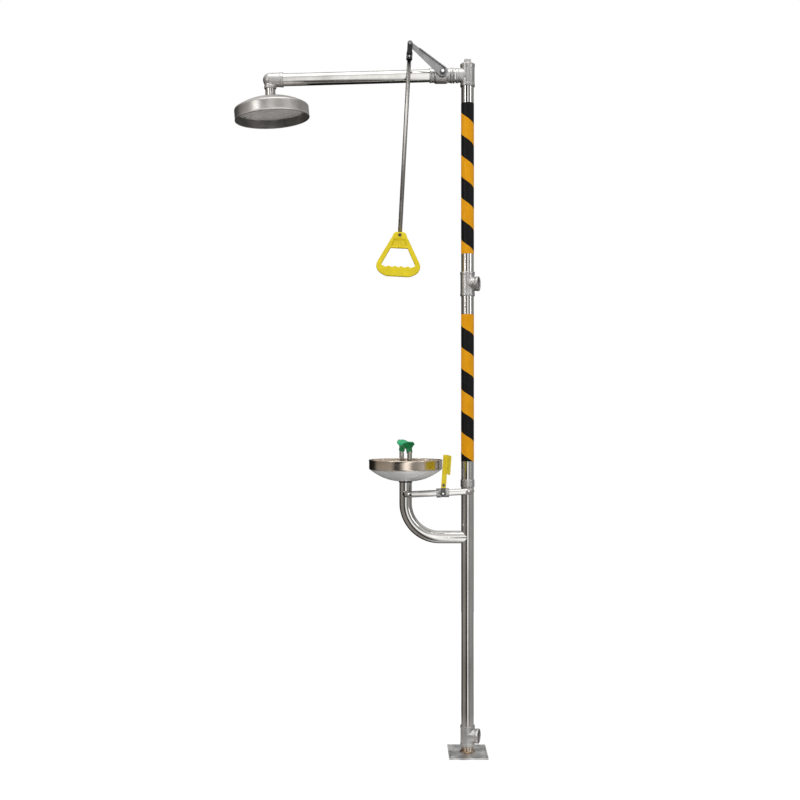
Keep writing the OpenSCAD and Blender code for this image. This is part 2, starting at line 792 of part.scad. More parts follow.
// pipe from the small valve outwards along s X, bent back to +Y at its end
module bar_pipe(s, run, inner_end_y) {
    reach = round(100 * run / cos(bar_slope)) / 100;
    straight = reach - bar_bend_r - ev_half + ev_socket;
    on_bar() {
        translate([s * (ev_half - ev_socket), 0, 0]) rotate([0, s * 90, 0]) pipe(bar_od, thin_wall, straight);
        translate([s * (reach - bar_bend_r), bar_bend_r, 0])
            rotate_extrude(angle = s * 90, start = 270) translate([bar_bend_r, 0]) difference() {
                circle(r = bar_r);
                circle(r = bar_in);
            }
        translate([s * reach, bar_bend_r, 0]) rotate([-90, 0, 0])
            pipe(bar_od, thin_wall, inner_end_y - bar_y - bar_bend_r);
    }
}

module bar_bowl_side() {
    color(steel) bar_pipe(-1, bar_left_run, 2 - drain_in);
}

module bar_column_side() {
    color(steel) difference() {
        bar_pipe(1, bar_right_run, 0);
        cylinder(r = column_r, h = 2000);
    }
}

module eyewash_valve_body() {
    color(cast_steel) on_bar() difference() {
        union() {
            rotate([0, 90, 0]) cylinder(r = ev_body_r, h = 24, center = true);
            for (s = [-1, 1]) translate([s * (ev_half - 8), 0, 0]) rotate([0, 90, 0])
                cylinder(d = 27 / cos(30), h = 16, center = true, $fn = 6);
            rotate([90, 0, 0]) cylinder(r = 8, h = ev_body_r + 5);
        }
        rotate([0, 90, 0]) cylinder(r = ev_bore_r, h = 3 * ev_half, center = true);
        rotate([0, 90, 0]) cylinder(r = 10.4, h = 26, center = true);
        for (s = [-1, 1]) translate([s * ev_half, 0, 0]) rotate([0, 90, 0])
            cylinder(r = bar_r, h = 2 * ev_socket, center = true);
        rotate([90, 0, 0]) cylinder(r = ev_stem_r + run_gap, h = 40);
    }
}

module eyewash_valve_seats() {
    color(white) on_bar() valve_seats(ev_ball_d, ev_bore_r, 10.4, 13);
}

module eyewash_valve_ball() {
    color(steel) on_bar() valve_ball(ev_ball_d, ev_bore_r, ev_stem_r);
}

module eyewash_valve_stem() {
    shank = push_y - bar_y;
    color(steel) on_bar() valve_stem(ev_ball_d, ev_stem_r, shank, shank - 11, 3);
}

module eyewash_valve_gland() {
    color(steel) on_bar() nut_y(16, -ev_body_r - 5, -ev_body_r - 10, ev_stem_r + run_gap);
}

// push frame: origin on the stem axis at the bracket's back face, leaning with the lever
module on_push() {
    translate([ev_x, push_y, bar_z]) rotate([0, push_lean, 0]) children();
}

bracket_top = 34;
module push_bracket() {
    color(steel) on_push() {
        difference() {
            union() {
                translate([0, -push_t, 0]) rotate([-90, 0, 0]) cylinder(r = 10, h = push_t);
                translate([-8, -push_t, 0]) cube([16, push_t, bracket_top]);
            }
            rotate([90, 0, 0]) cylinder(r = 3, h = 20, center = true);
            translate([0, 0, 27]) rotate([90, 0, 0]) cylinder(r = 2.5, h = 20, center = true);
        }
        translate([0, -push_t, 0]) nut_y(11, 0, -6, 3);
    }
}

module push_plate() {
    half_w = 8;
    foot_z = 18;
    splay = 6;
    root_x = half_w + push_t * tan(splay) - push_t / cos(splay);
    flag_out = [half_w + flag_len * sin(splay), -push_t - flag_len * cos(splay)];
    flag_in = flag_out - push_t * [cos(splay), sin(splay)];
    color(yellow) on_push() difference() {
        translate([0, 0, foot_z]) linear_extrude(height = push_h - foot_z) polygon([
            [-half_w, -2 * push_t], [root_x, -2 * push_t], flag_in,
            flag_out, [half_w, -push_t], [-half_w, -push_t]]);
        translate([-half_w - 1, -2 * push_t - flag_len, 0])
            cube([2 * half_w + flag_len, flag_len, push_h - flag_h]);
        translate([0, 0, 27]) rotate([90, 0, 0]) cylinder(r = 2.5, h = 20, center = true);
    }
}

module push_plate_rivet() {
    color(steel) on_push() translate([0, 0, 27]) rotate([90, 0, 0]) {
        cylinder(r = 2.5, h = 2 * push_t);
        translate([0, 0, 2 * push_t]) cylinder(r = 4.5, h = 2);
    }
}

base_plate();
base_nipple();
waste_tee();
lower_column();
column_partition();
column_coupling();
middle_column();
supply_tee();
upper_column();
top_tee();
top_plug();
upper_hazard_sleeve();
lower_hazard_sleeve();
valve_nipple();
shower_valve_body();
shower_valve_end();
shower_valve_seats();
shower_valve_ball();
shower_valve_stem();
shower_valve_gland();
shower_lever();
shower_lever_nut();
link_pin();
pull_link();
pull_rod();
rod_nut();
pull_handle();
handle_screw();
shower_arm();
arm_elbow();
head_nipple();
head_locknut();
shower_head_shell();
spray_plate();
spray_plate_screws();
drain_bend();
drain_gasket();
eyewash_bowl();
bowl_strainer();
eyewash_riser();
nozzle_manifold();
nozzle_stems();
nozzle_near();
nozzle_far();
cap_pin_near();
cap_pin_far();
dust_cap_near();
dust_cap_far();
bar_bowl_side();
bar_column_side();
eyewash_valve_body();
eyewash_valve_seats();
eyewash_valve_ball();
eyewash_valve_stem();
eyewash_valve_gland();
push_bracket();
push_plate();
push_plate_rivet();
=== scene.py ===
from math import atan2, cos, pi, radians, sin, sqrt

import bmesh
import bpy
from mathutils import Matrix, Vector


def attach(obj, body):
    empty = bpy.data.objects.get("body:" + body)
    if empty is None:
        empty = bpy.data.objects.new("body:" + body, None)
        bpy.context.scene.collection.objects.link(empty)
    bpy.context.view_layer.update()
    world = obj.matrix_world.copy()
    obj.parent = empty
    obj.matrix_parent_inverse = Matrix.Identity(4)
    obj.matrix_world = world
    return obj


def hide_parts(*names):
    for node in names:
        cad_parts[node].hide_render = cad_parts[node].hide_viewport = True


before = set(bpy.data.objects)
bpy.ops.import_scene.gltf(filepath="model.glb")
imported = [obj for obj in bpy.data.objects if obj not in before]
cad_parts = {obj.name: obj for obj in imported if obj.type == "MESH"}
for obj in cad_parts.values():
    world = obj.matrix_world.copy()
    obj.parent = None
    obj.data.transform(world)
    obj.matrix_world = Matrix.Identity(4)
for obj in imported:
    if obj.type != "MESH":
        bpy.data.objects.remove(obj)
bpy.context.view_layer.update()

scene = bpy.context.scene
scene.view_settings.view_transform = 'Standard'

# ---------------------------------------------------------------- camera
# A level camera 3.8 m in front of the column, at chest height, with a
# normal lens, so that the whole 2.4 m station fits the frame.
lens = bpy.data.cameras.new("camera")
lens.sensor_width = 36
lens.lens = 50.6
lens.shift_y = 0.00875
lens.clip_end = 60
camera = bpy.data.objects.new("camera", lens)
camera.location = (-0.227, -3.78, 1.163)
camera.rotation_euler = (pi / 2, 0, 0)
scene.collection.objects.link(camera)
scene.camera = camera

# ---------------------------------------------------------------- studio
# A pale seamless floor, three soft boxes and a room of pale and dark bands
# that shiny surfaces reflect, where the camera itself sees plain white.
def node_material(name):
    made = bpy.data.materials.new(name)
    made.use_nodes = True
    return made, made.node_tree.nodes, made.node_tree.links


def feed(links, socket, value):
    """Gives a socket a number or a colour, or links another socket to it."""
    if isinstance(value, (int, float)):
        socket.default_value = value
    elif isinstance(value, tuple):
        socket.default_value = (*value, 1)
    else:
        links.new(value, socket)


def calc(nodes, links, kind, *values):
    step = nodes.new("ShaderNodeMath")
    step.operation = kind
    for socket, value in zip(step.inputs, values):
        feed(links, socket, value)
    return step.outputs[0]


def spread(nodes, links, value, low, high, in_low=0.3, in_high=0.7):
    fit = nodes.new("ShaderNodeMapRange")
    fit.inputs["From Min"].default_value = in_low
    fit.inputs["From Max"].default_value = in_high
    fit.inputs["To Min"].default_value = low
    fit.inputs["To Max"].default_value = high
    links.new(value, fit.inputs["Value"])
    return fit.outputs[0]


def blend_colours(nodes, links, value, low, high):
    mix = nodes.new("ShaderNodeMix")
    mix.data_type = 'RGBA'
    links.new(value, mix.inputs[0])
    feed(links, mix.inputs[6], low)
    feed(links, mix.inputs[7], high)
    return mix.outputs[2]


def either(nodes, links, choice, otherwise, chosen):
    mix = nodes.new("ShaderNodeMixShader")
    for socket, value in zip(mix.inputs, (choice, otherwise, chosen)):
        links.new(value, socket)
    return mix.outputs[0]


def ramp_of(nodes, links, value, stops):
    ramp = nodes.new("ShaderNodeValToRGB")
    links.new(value, ramp.inputs[0])
    for at, _ in stops[1:-1]:
        ramp.color_ramp.elements.new(at)
    for stop, (at, tone) in zip(ramp.color_ramp.elements, stops):
        stop.position = at
        stop.color = (*tone, 1)
    return ramp.outputs["Color"]


# share of a turn round the room, from -X by way of -Y, and the grey there
BANDS = [(0.0, 0.42), (0.13, 0.44), (0.150, 0.03), (0.190, 0.03), (0.215, 0.35), (0.245, 1.9), (0.275, 1.9),
         (0.30, 0.34), (0.40, 0.52), (0.60, 0.40), (0.72, 0.30), (0.75, 0.01), (0.93, 0.01), (0.97, 0.38),
         (1.0, 0.42)]


def studio_bands(nodes, links, place):
    """Pale walls, dark gaps and one bright window round the room, by the compass bearing of a place."""
    split = nodes.new("ShaderNodeSeparateXYZ")
    links.new(place, split.inputs[0])
    bearing = calc(nodes, links, 'ARCTAN2', split.outputs["Y"], split.outputs["X"])
    stops = []
    for at, grey in BANDS:
        warm = 1.0 if 0.14 < at < 0.96 else 0.86
        stops.append((at, (grey, grey * (1 + warm) / 2, grey * warm)))
    return ramp_of(nodes, links, spread(nodes, links, bearing, 0, 1, -pi, pi), stops), split.outputs["Z"]


def studio_floor():
    """Pale paint that whitens away from the object; metal sees the room's bands in it."""
    made, nodes, links = node_material("studio_floor")
    surface = nodes["Principled BSDF"]
    surface.inputs["Base Color"].default_value = (0.80, 0.80, 0.80, 1)
    surface.inputs["Roughness"].default_value = 0.7
    surface.inputs["Specular IOR Level"].default_value = 0.2
    seen = nodes.new("ShaderNodeLightPath")
    where = nodes.new("ShaderNodeTexCoord")
    away = nodes.new("ShaderNodeVectorMath")
    away.operation = 'LENGTH'
    links.new(where.outputs["Object"], away.inputs[0])
    reach = away.outputs["Value"]
    fade = spread(nodes, links, reach, 0.5, 1, 0.3, 2)
    lift = calc(nodes, links, 'MULTIPLY', seen.outputs["Is Camera Ray"], fade)
    links.new(lift, surface.inputs["Emission Strength"])
    surface.inputs["Emission Color"].default_value = (1, 1, 1, 1)
    bands, _ = studio_bands(nodes, links, where.outputs["Object"])
    mirrored = nodes.new("ShaderNodeEmission")
    near = spread(nodes, links, reach, 0, 1, 0.15, 0.5)
    links.new(blend_colours(nodes, links, near, (0.80, 0.80, 0.80), bands), mirrored.inputs["Color"])
    links.new(either(nodes, links, seen.outputs["Is Glossy Ray"], surface.outputs[0], mirrored.outputs[0]),
              nodes["Material Output"].inputs["Surface"])
    return made


floor_mesh = bpy.data.meshes.new("floor")
floor_mesh.from_pydata([(-2.6, -2.6, 0), (2.6, -2.6, 0), (2.6, 2.6, 0), (-2.6, 2.6, 0)], [], [(0, 1, 2, 3)])
floor_mesh.materials.append(studio_floor())
floor = bpy.data.objects.new("floor", floor_mesh)
scene.collection.objects.link(floor)


def soft_box(name, place, aim, wide, tall, power):
    lamp = bpy.data.lights.new(name, 'AREA')
    lamp.shape = 'RECTANGLE'
    lamp.size = wide
    lamp.size_y = tall
    lamp.energy = power
    box = bpy.data.objects.new(name, lamp)
    box.location = place
    box.rotation_euler = (Vector(aim) - Vector(place)).to_track_quat('-Z', 'Y').to_euler()
    scene.collection.objects.link(box)


soft_box("box_left", (-3.4, -3.0, 2.6), (-0.2, 0, 1.2), 0.7, 2.6, 42)
soft_box("box_right", (3.2, -2.6, 2.2), (-0.1, 0, 1.2), 0.7, 2.6, 26)
soft_box("box_top", (-0.3, -0.8, 4.6), (-0.3, 0, 1.0), 3.0, 2.4, 55)

world = bpy.data.worlds.new("studio")
scene.world = world
world.use_nodes = True
sky = world.node_tree
sky.nodes.clear()
seen = sky.nodes.new("ShaderNodeLightPath")
where = sky.nodes.new("ShaderNodeTexCoord")
bands, height = studio_bands(sky.nodes, sky.links, where.outputs["Generated"])
zenith = spread(sky.nodes, sky.links, height, 0, 1, 0.25, 0.7)
zenith.node.interpolation_type = 'SMOOTHSTEP'
overhead = blend_colours(sky.nodes, sky.links, zenith, bands, (0.95, 0.95, 0.95))


def background(colour, strength):
    made = sky.nodes.new("ShaderNodeBackground")
    feed(sky.links, made.inputs["Color"], colour)
    made.inputs["Strength"].default_value = strength
    return made.outputs[0]


room = either(sky.nodes, sky.links, seen.outputs["Is Glossy Ray"], background((1, 1, 1), 0.45),
              background(overhead, 1))
shown = either(sky.nodes, sky.links, seen.outputs["Is Camera Ray"], room, background((1, 1, 1), 1))
sky.links.new(shown, sky.nodes.new("ShaderNodeOutputWorld").inputs["Surface"])

# ---------------------------------------------------------------- upright tubes
# 1-1/4 inch stainless tube, 42.4 mm, in three lengths with a stub at the
# foot. It is belt polished round its axis, which leaves a fine ring grain.
def grain(nodes, links, scale, turn=(0, 0, 0)):
    where = nodes.new("ShaderNodeTexCoord")
    place = nodes.new("ShaderNodeMapping")
    place.inputs["Scale"].default_value = scale
    place.inputs["Rotation"].default_value = turn
    noise = nodes.new("ShaderNodeTexNoise")
    noise.inputs["Scale"].default_value = 1
    noise.inputs["Detail"].default_value = 5
    noise.inputs["Roughness"].default_value = 0.6
    links.new(where.outputs["Object"], place.inputs[0])
    links.new(place.outputs[0], noise.inputs["Vector"])
    return noise.outputs["Fac"]


def object_xyz(nodes, links):
    where = nodes.new("ShaderNodeTexCoord")
    split = nodes.new("ShaderNodeSeparateXYZ")
    links.new(where.outputs["Object"], split.inputs[0])
    return split.outputs


def clouded(nodes, links, scale, dark, light):
    return blend_colours(nodes, links, spread(nodes, links, grain(nodes, links, scale), 0, 1), dark, light)


def emboss(nodes, links, surface, height, strength, distance):
    bump = nodes.new("ShaderNodeBump")
    bump.inputs["Strength"].default_value = strength
    bump.inputs["Distance"].default_value = distance
    links.new(height, bump.inputs["Height"])
    links.new(bump.outputs[0], surface.inputs["Normal"])


def steel_finish(name, dark, light, smooth, rough, fine, depth, turn=(0, 0, 0)):
    """Bare stainless steel: colour that clouds over some centimetres, and a fine directional grain."""
    made, nodes, links = node_material(name)
    surface = nodes["Principled BSDF"]
    surface.inputs["Metallic"].default_value = 1
    links.new(clouded(nodes, links, (14, 14, 5), dark, light), surface.inputs["Base Color"])
    streak = grain(nodes, links, fine, turn)
    links.new(spread(nodes, links, streak, smooth, rough), surface.inputs["Roughness"])
    emboss(nodes, links, surface, streak, 0.25, depth)
    return made


def dress(finish, *names):
    for name in names:
        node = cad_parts[name]
        node.data.materials.clear()
        node.data.materials.append(finish)


TUBE_DARK, TUBE_LIGHT = (0.38, 0.37, 0.35), (0.56, 0.55, 0.53)
upright_tube = steel_finish("upright_tube", TUBE_DARK, TUBE_LIGHT, 0.10, 0.18, (90, 90, 1500), 0.00005)
dress(upright_tube, "lower_column", "middle_column", "upper_column", "column_partition", "eyewash_riser",
      "nozzle_manifold", "nozzle_stems", "head_nipple")

# ---------------------------------------------------------------- level tubes
# The shower arm, the eyewash supply bar and the drain bend are the same
# tube laid level, so the rings of the polishing belt run the other way.
level_tube = steel_finish("level_tube", TUBE_DARK, TUBE_LIGHT, 0.10, 0.18, (1500, 90, 90), 0.00005)
dress(level_tube, "shower_arm", "valve_nipple", "bar_bowl_side", "bar_column_side", "drain_bend")

# ---------------------------------------------------------------- foot
# A 6 mm laser-cut base plate, ground flat, welded to a short stub whose
# steel is straw and brown from the heat of the weld.
ground_plate = steel_finish("ground_plate", (0.28, 0.28, 0.27), (0.97, 0.96, 0.95), 0.20, 0.60, (26, 180, 26),
                            0.0016, (0, 0, 0.5))
dress(ground_plate, "base_plate")


def heat_tint():
    made, nodes, links = node_material("heat_tint")
    surface = nodes["Principled BSDF"]
    surface.inputs["Metallic"].default_value = 1
    height = calc(nodes, links, 'MULTIPLY_ADD', grain(nodes, links, (40, 40, 60)), 0.05,
                  object_xyz(nodes, links)["Z"])
    stops = [(0.0, (0.10, 0.075, 0.055)), (0.25, (0.22, 0.15, 0.10)), (0.5, (0.42, 0.36, 0.30)),
             (1.0, (0.50, 0.49, 0.47))]
    links.new(ramp_of(nodes, links, spread(nodes, links, height, 0, 1, 0.026, 0.060), stops),
              surface.inputs["Base Color"])
    streak = grain(nodes, links, (90, 90, 1500))
    links.new(spread(nodes, links, streak, 0.20, 0.38), surface.inputs["Roughness"])
    emboss(nodes, links, surface, streak, 0.3, 0.0003)
    return made


dress(heat_tint(), "base_nipple")

# ---------------------------------------------------------------- hazard film
# Printed adhesive vinyl, wrapped once round the tube with a lap seam at the
# back: slanting black and orange-yellow bands, 71 mm of each along the tube.
BAND_PAIR = 0.142


def hazard_film(name, edge_z, fall):
    """edge_z is the height of one band edge at the left of the tube, fall its drop in each radian."""
    made, nodes, links = node_material(name)
    surface = nodes["Principled BSDF"]
    place = object_xyz(nodes, links)

    def of(kind, *values):
        return calc(nodes, links, kind, *values)

    # angle from the left through the front
    seam = radians(270)
    around = of('ARCTAN2', of('MULTIPLY', place["Y"], -1), of('MULTIPLY', place["X"], -1))
    down = of('MULTIPLY', of('WRAP', around, seam, seam - 2 * pi), fall)
    along = of('SUBTRACT', of('ADD', place["Z"], down), edge_z)
    band = of('LESS_THAN', of('FRACT', of('DIVIDE', along, BAND_PAIR)), 0.5)
    yellow = clouded(nodes, links, (60, 60, 25), (0.80, 0.33, 0.002), (0.92, 0.40, 0.004))
    black = clouded(nodes, links, (60, 60, 25), (0.003, 0.003, 0.003), (0.006, 0.006, 0.006))
    links.new(blend_colours(nodes, links, band, black, yellow), surface.inputs["Base Color"])
    ripple = grain(nodes, links, (120, 120, 40))
    links.new(spread(nodes, links, ripple, 0.38, 0.5), surface.inputs["Roughness"])
    surface.inputs["Specular IOR Level"].default_value = 0.14
    emboss(nodes, links, surface, ripple, 0.2, 0.0004)
    return made


dress(hazard_film("upper_film", 2.084, 0.016), "upper_hazard_sleeve")
dress(hazard_film("lower_film", 1.440, 0.0135), "lower_hazard_sleeve")

# ---------------------------------------------------------------- cast fittings
# Investment-cast stainless tees, elbow, coupling and valve bodies. Their
# corners are rounded by the wax pattern, and the skin is a matt pickled grain.
cast_skin = steel_finish("cast_skin", (0.30, 0.295, 0.285), (0.56, 0.55, 0.535), 0.26, 0.50,
                         (700, 700, 700), 0.0012)


def merged_copy(name):
    shell = bmesh.new()
    shell.from_mesh(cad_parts[name].data)
    bmesh.ops.remove_doubles(shell, verts=shell.verts, dist=1e-6)
    return shell


def mesh_of(shape):
    """The mesh of a bmesh, which is then freed."""
    mesh = bpy.data.meshes.new("shape")
    shape.to_mesh(mesh)
    shape.free()
    return mesh


def blank_of(mesh):
    blank = bpy.data.objects.new("blank", mesh)
    scene.collection.objects.link(blank)
    return blank


def new_piece(name, mesh, finish, body, slot, *nodes):
    mesh.name = name
    mesh.materials.clear()
    mesh.materials.append(finish)
    piece = bpy.data.objects.new(name, mesh)
    scene.collection.objects.link(piece)
    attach(piece, body)
    if nodes:
        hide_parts(*nodes)
    return piece


def finished_mesh(piece):
    """The evaluated mesh of an object, which is then thrown away."""
    bpy.context.view_layer.update()
    seen = piece.evaluated_get(bpy.context.evaluated_depsgraph_get())
    mesh = bpy.data.meshes.new_from_object(seen)
    bpy.data.objects.remove(piece)
    return mesh


def softened(blank, grain_size, passes):
    """The object's mesh, remade in voxels of this size and smoothed."""
    remesh = blank.modifiers.new("voxels", 'REMESH')
    remesh.mode = 'VOXEL'
    remesh.voxel_size = grain_size
    remesh.use_smooth_shade = True
    smooth = blank.modifiers.new("smooth", 'SMOOTH')
    smooth.factor = 0.5
    smooth.iterations = passes
    return finished_mesh(blank)


def rounded_by_wax(node, grain_size, passes):
    """A copy of the machined shape with its corners and inner angles rounded off."""
    return softened(blank_of(mesh_of(merged_copy(node))), grain_size, passes)


for fitting in ("top_tee", "supply_tee", "waste_tee", "arm_elbow", "column_coupling", "shower_valve_body",
                "shower_valve_end"):
    cast = rounded_by_wax(fitting, 0.0012, 5)
    new_piece("cast_" + fitting, cast, cast_skin, "station", "cast_steel", fitting)
new_piece("cast_eyewash_valve", rounded_by_wax("eyewash_valve_body", 0.0008, 4), cast_skin, "station",
          "cast_steel", "eyewash_valve_body")
dress(cast_skin, "top_plug")

# ---------------------------------------------------------------- shower head
# Spun stainless bell, 254 mm across, with a rounded shoulder and a rolled
# lip. It hangs from a short nipple under the arm's elbow, with a lock nut.
def spun_finish(name, dark, light, smooth, rough):
    """Spun and buffed sheet: bright, with faint turning rings and a few cloudy marks."""
    made, nodes, links = node_material(name)
    surface = nodes["Principled BSDF"]
    surface.inputs["Metallic"].default_value = 1
    links.new(clouded(nodes, links, (9, 9, 16), dark, light), surface.inputs["Base Color"])
    ring = grain(nodes, links, (20, 20, 1200))
    links.new(spread(nodes, links, ring, smooth, rough), surface.inputs["Roughness"])
    emboss(nodes, links, surface, ring, 0.15, 0.0002)
    return made


def dished(radius, rise, skirt, neck, shoulder):
    """Closed outline of a dished pan that opens downwards, in metres, its apex at height 0."""
    sheet = 0.0015
    bead = 0.0019
    power = 2.1
    slope = 0.4
    for _ in range(4):
        edge = radius - shoulder * (1 - sin(slope))
        reach = (edge - neck) / (radius - neck)
        slope = atan2(rise * power * reach ** (power - 1), radius - neck)
    outer = [(neck + (edge - neck) * k / 20, -rise * (reach * k / 20) ** power) for k in range(21)]
    centre_z = outer[-1][1] - shoulder * cos(slope)
    for k in range(1, 9):
        turn = slope + (pi / 2 - slope) * k / 8
        outer.append((radius - shoulder + shoulder * sin(turn), centre_z + shoulder * cos(turn)))
    low = -rise - skirt
    outer.append((radius, low + 4 * bead))
    inner = []
    for k, (x, z) in enumerate(outer):
        x0, z0 = outer[max(k - 1, 0)]
        x1, z1 = outer[min(k + 1, len(outer) - 1)]
        size = sqrt((x1 - x0) ** 2 + (z1 - z0) ** 2)
        inner.append((x + sheet * (z1 - z0) / size, z - sheet * (x1 - x0) / size))
    lip = []
    for k in range(11):
        turn = radians(40 - 26 * k)
        lip.append((radius - 0.5 * bead + bead * cos(turn), low + bead + bead * sin(turn)))
    return outer + lip + inner[::-1]


def turned(profile, steps, place):
    """A closed outline of (radius, height) pairs turned round its axis, then put in place."""
    shape = bmesh.new()
    rings = []
    for step in range(steps):
        angle = 2 * pi * step / steps
        spots = [place @ Vector((r * cos(angle), r * sin(angle), z)) for r, z in profile]
        rings.append([shape.verts.new(spot) for spot in spots])
    for step in range(steps):
        here, following = rings[step], rings[(step + 1) % steps]
        for k in range(len(profile)):
            m = (k + 1) % len(profile)
            shape.faces.new((here[k], following[k], following[m], here[m]))
    bmesh.ops.recalc_face_normals(shape, faces=shape.faces)
    mesh = mesh_of(shape)
    mesh.shade_smooth()
    return mesh


ARM_DROOP, HEAD_TILT = radians(-1.6), radians(-3.2)
elbow_place = (Matrix.Translation((-0.111, 0, 2.277)) @ Matrix.Rotation(ARM_DROOP, 4, 'Y')
               @ Matrix.Translation((-0.553, 0, 0)))
head_place = elbow_place @ Matrix.Translation((0, 0, -0.061)) @ Matrix.Rotation(HEAD_TILT, 4, 'Y')
spun_steel = spun_finish("spun_steel", (0.34, 0.325, 0.31), (0.52, 0.50, 0.48), 0.32, 0.42)
# The bell's inside takes a darker copy of the spun steel: painted shade inside the bell.
dull_inside = spun_finish("dull_inside", (0.13, 0.13, 0.125), (0.26, 0.255, 0.25), 0.30, 0.45)
bell = new_piece("spun_bell", turned(dished(0.125, 0.032, 0.039, 0.018, 0.009), 144, head_place), spun_steel,
                 "station", "polished_steel", "shower_head_shell")
bell.data.materials.append(dull_inside)
# Faces that look into the bell above the lip get the painted shade.
inside_point = head_place @ Vector((0, 0, -0.050))
LIP_TOP = -0.0695
for face in bell.data.polygons:
    above_lip = (head_place.inverted() @ face.center).z > LIP_TOP
    if above_lip and face.normal.dot(inside_point - face.center) > 0:
        face.material_index = 1
dress(spun_steel, "head_locknut", "spray_plate_screws")

# ---------------------------------------------------------------- spray plate
# Flat perforated disc with 126 water holes in six rings. Each hole is
# punched from above, so that a small burr stands round it below.
def tree_with(name, *sizes):
    """A geometry tree with one named float input per (name, value) pair; returns its parts."""
    tree = bpy.data.node_groups.new(name, 'GeometryNodeTree')
    tree.interface.new_socket("Geometry", in_out='INPUT', socket_type='NodeSocketGeometry')
    keys = {}
    for label, value in sizes:
        socket = tree.interface.new_socket(label, in_out='INPUT', socket_type='NodeSocketFloat')
        socket.default_value = value
        keys[label] = socket.identifier
    finish = tree.interface.new_socket("Material", in_out='INPUT', socket_type='NodeSocketMaterial')
    keys["Material"] = finish.identifier
    tree.interface.new_socket("Geometry", in_out='OUTPUT', socket_type='NodeSocketGeometry')
    given = tree.nodes.new("NodeGroupInput")
    made = tree.nodes.new("NodeGroupOutput")
    return tree, given, made, keys


def finish_tree(tree, given, made, last):
    """Ends a tree in Realize Instances and Set Material."""
    solid = tree.nodes.new("GeometryNodeRealizeInstances")
    skin = tree.nodes.new("GeometryNodeSetMaterial")
    tree.links.new(last, solid.inputs[0])
    tree.links.new(solid.outputs[0], skin.inputs["Geometry"])
    tree.links.new(given.outputs["Material"], skin.inputs["Material"])
    tree.links.new(skin.outputs[0], made.inputs[0])


def grown(tree, keys, values, finish, place):
    """The mesh that a tree grows with these inputs, put in place."""
    blank = blank_of(bpy.data.meshes.new("seed"))
    growth = blank.modifiers.new("growth", 'NODES')
    growth.node_group = tree
    for label, value in values.items():
        growth[keys[label]] = value
    growth[keys["Material"]] = finish
    mesh = finished_mesh(blank)
    mesh.transform(place)
    shape = bmesh.new()
    shape.from_mesh(mesh)
    bmesh.ops.recalc_face_normals(shape, faces=shape.faces)
    shape.to_mesh(mesh)
    shape.free()
    return mesh


def copies_round(tree, count, radius, angle, instance):
    """Instances at polar places round the Z axis, one for each point index."""
    nodes, links = tree.nodes, tree.links
    points = nodes.new("GeometryNodePoints")
    links.new(count, points.inputs["Count"])
    spot = nodes.new("ShaderNodeCombineXYZ")
    for axis, kind in (("X", 'COSINE'), ("Y", 'SINE')):
        links.new(calc(nodes, links, 'MULTIPLY', radius, calc(nodes, links, kind, angle)), spot.inputs[axis])
    moved = nodes.new("GeometryNodeSetPosition")
    links.new(points.outputs[0], moved.inputs["Geometry"])
    links.new(spot.outputs[0], moved.inputs["Position"])
    copies = nodes.new("GeometryNodeInstanceOnPoints")
    links.new(moved.outputs[0], copies.inputs["Points"])
    links.new(instance, copies.inputs["Instance"])
    return copies


def swept(tree, path, sides, thick, capped):
    """A round bar of this many sides and half thickness along a path curve."""
    section = tree.nodes.new("GeometryNodeCurvePrimitiveCircle")
    section.inputs["Resolution"].default_value = sides
    tree.links.new(thick, section.inputs["Radius"])
    sweep = tree.nodes.new("GeometryNodeCurveToMesh")
    sweep.inputs["Fill Caps"].default_value = capped
    tree.links.new(path, sweep.inputs["Curve"])
    tree.links.new(section.outputs[0], sweep.inputs["Profile Curve"])
    return sweep.outputs[0]


def burr_rings():
    """Ring k of the plate has 6 k holes, so a hole's ring follows from its index."""
    tree, given, made, keys = tree_with("burr_rings", ("Holes", 126), ("Ring pitch", 0.0168),
                                        ("Hole radius", 0.0015), ("Burr", 0.0005))
    nodes, links = tree.nodes, tree.links

    def of(kind, *values):
        return calc(nodes, links, kind, *values)

    index = nodes.new("GeometryNodeInputIndex").outputs[0]
    root = of('SQRT', of('MULTIPLY_ADD', index, 4 / 3, 1.0001))
    ring = of('FLOOR', of('MULTIPLY_ADD', root, 0.5, 0.5))
    before = of('MULTIPLY', of('MULTIPLY', ring, 3), of('SUBTRACT', ring, 1))
    share = of('DIVIDE', of('SUBTRACT', index, before), of('MULTIPLY', ring, 6))
    rim = nodes.new("GeometryNodeCurvePrimitiveCircle")
    rim.inputs["Resolution"].default_value = 12
    wide = of('MULTIPLY_ADD', given.outputs["Burr"], 1.1, given.outputs["Hole radius"])
    links.new(wide, rim.inputs["Radius"])
    burr = swept(tree, rim.outputs[0], 5, given.outputs["Burr"], False)
    copies = copies_round(tree, given.outputs["Holes"], of('MULTIPLY', ring, given.outputs["Ring pitch"]),
                          of('MULTIPLY', share, 2 * pi), burr)
    finish_tree(tree, given, made, copies.outputs[0])
    return tree, keys


# The spray plate's pale colour and half-metal sheen are painted reflection of the bright floor below it.
plate_steel = spun_finish("spray_plate_painted_reflection", (0.86, 0.83, 0.79), (0.96, 0.93, 0.89), 0.34, 0.50)
plate_steel.node_tree.nodes["Principled BSDF"].inputs["Metallic"].default_value = 0.5
dress(plate_steel, "spray_plate")
burrs, burr_keys = burr_rings()
plate_low = head_place @ Matrix.Translation((0, 0, -0.0410))
burr_mesh = grown(burrs, burr_keys, {"Holes": 126.0, "Ring pitch": 0.016833, "Hole radius": 0.0015,
                                     "Burr": 0.0005}, plate_steel, plate_low)
new_piece("spray_hole_burrs", burr_mesh, plate_steel, "station", "polished_steel")

# ---------------------------------------------------------------- eyewash bowl
# Spun and polished stainless bowl, 250 mm across, dropped into the drain
# bend on a rubber gasket, with a loose perforated strainer in its floor.
bowl_steel = spun_finish("bowl_steel", (0.50, 0.43, 0.35), (0.66, 0.58, 0.50), 0.16, 0.26)


